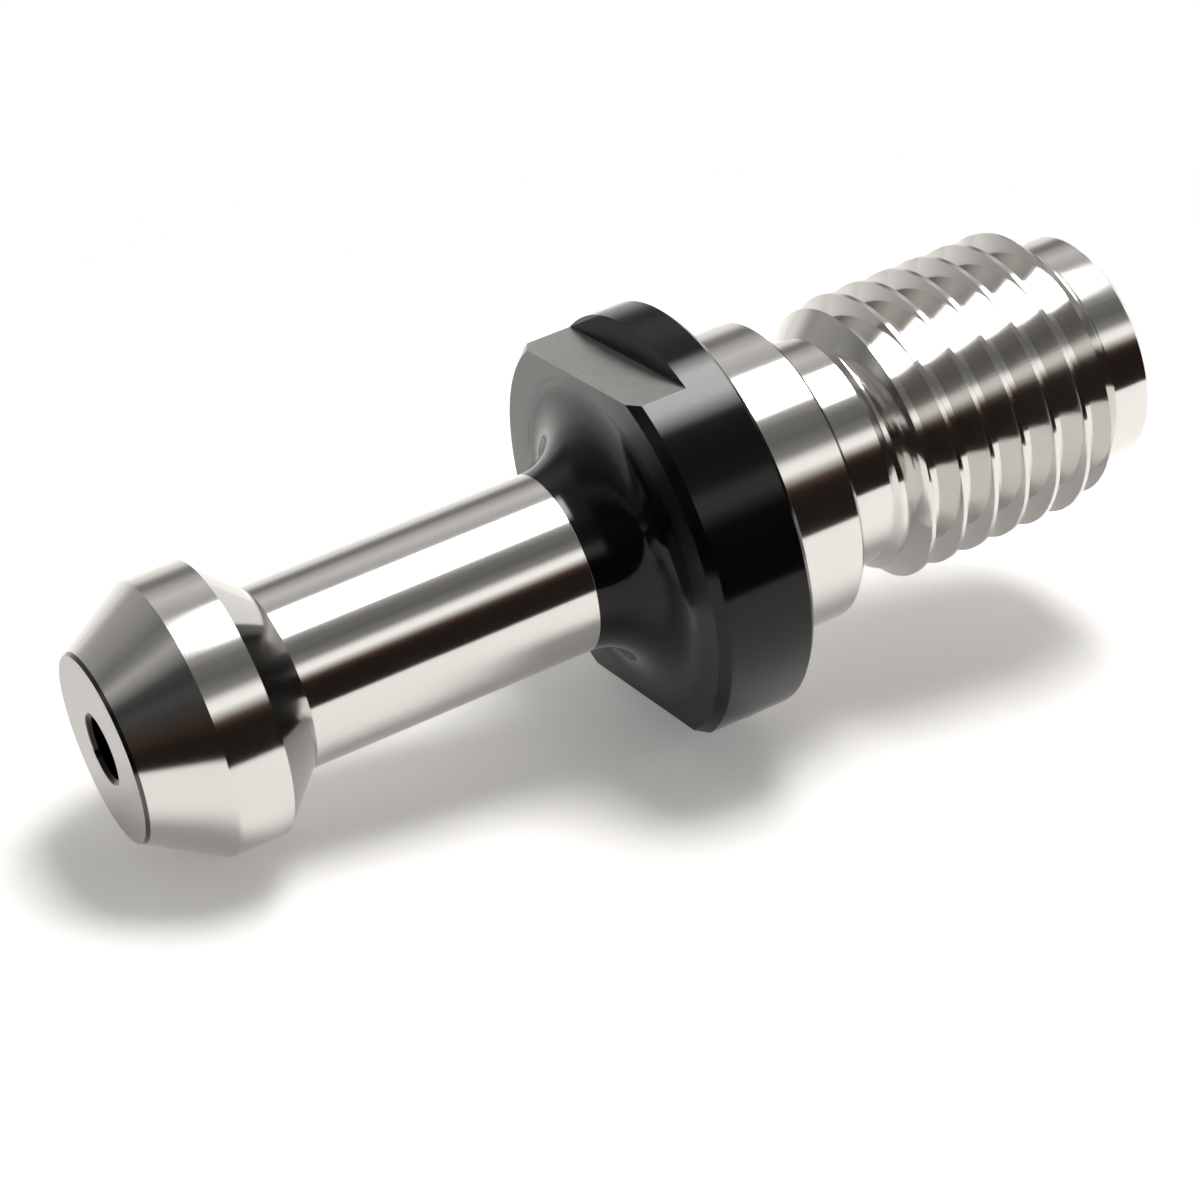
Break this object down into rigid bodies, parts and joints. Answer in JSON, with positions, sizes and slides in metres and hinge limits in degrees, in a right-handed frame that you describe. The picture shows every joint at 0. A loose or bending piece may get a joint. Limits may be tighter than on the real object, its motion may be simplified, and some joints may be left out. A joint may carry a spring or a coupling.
{
  "type": "pull stud",
  "caption": "Turned steel pull stud: coned head on a slim neck, round flange with wrench flats, ground pilot, threaded shank and a coolant hole through its length.",
  "frame": {"origin": "on the axis, in the seat face of the flange, where the ground pilot begins", "axes": "+Z along the axis, from the thread towards the head; the wrench flats face +Y and -Y"},
  "size_m": [0.023, 0.023, 0.06],
  "materials": {
    "steel": "case-hardened steel, ground bright on head, neck, seat face, pilot and thread, black oxide on the flange"
  },
  "bodies": {
    "root": {"pull_stud": "steel"}
  },
  "joints": []
}
